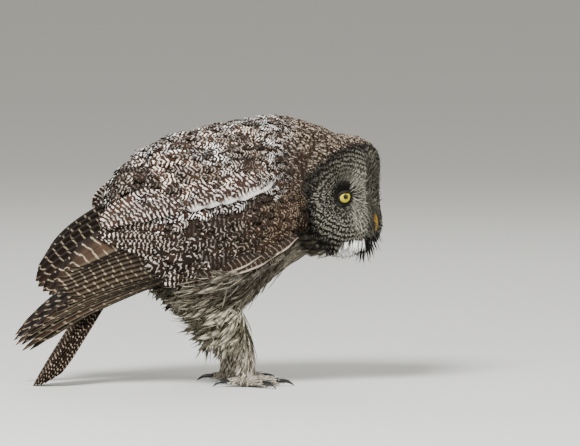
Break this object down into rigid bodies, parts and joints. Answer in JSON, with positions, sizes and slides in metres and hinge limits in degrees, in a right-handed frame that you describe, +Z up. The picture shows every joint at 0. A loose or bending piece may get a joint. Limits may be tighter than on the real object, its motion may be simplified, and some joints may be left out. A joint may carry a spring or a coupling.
{
  "type": "great grey owl",
  "caption": "Life-size great grey owl standing in a forward lean, head turned to its right, wings folded and drooped, tail reaching the floor.",
  "frame": {"origin": "on the floor, under the middle of the whole length and width", "axes": "+X is the way the body faces, +Y is its left, +Z is up"},
  "size_m": [0.5261, 0.1926, 0.3784],
  "materials": {
    "plumage_back": "matt brown feathers with pale vermiculation",
    "plumage_face": "matt grey facial feathers with dark rings",
    "plumage_wing": "matt brown flight feathers with pale bars",
    "plumage_tail": "matt dark brown feathers with pale bars",
    "plumage_leg": "matt grey-white down",
    "eye": "glossy, yellow iris and black pupil",
    "bill": "smooth horn, yellow",
    "claw": "smooth horn, black"
  },
  "bodies": {
    "root": {"torso": "plumage_back", "neck": "plumage_back", "head": "plumage_back", "face_disc_right": "plumage_face", "eye_right": "eye", "face_disc_left": "plumage_face", "eye_left": "eye", "bill_upper": "bill", "bill_lower": "bill", "wing_coverts_right": "plumage_wing", "wing_secondaries_right": "plumage_wing", "wing_primaries_right": "plumage_wing", "wing_coverts_left": "plumage_wing", "wing_secondaries_left": "plumage_wing", "wing_primaries_left": "plumage_wing", "tail": "plumage_tail", "leg_right": "plumage_leg", "foot_right": "plumage_leg", "claw_inner_right": "claw", "claw_middle_right": "claw", "claw_outer_right": "claw", "claw_hind_right": "claw", "leg_left": "plumage_leg", "foot_left": "plumage_leg", "claw_inner_left": "claw", "claw_middle_left": "claw", "claw_outer_left": "claw", "claw_hind_left": "claw"}
  },
  "joints": []
}
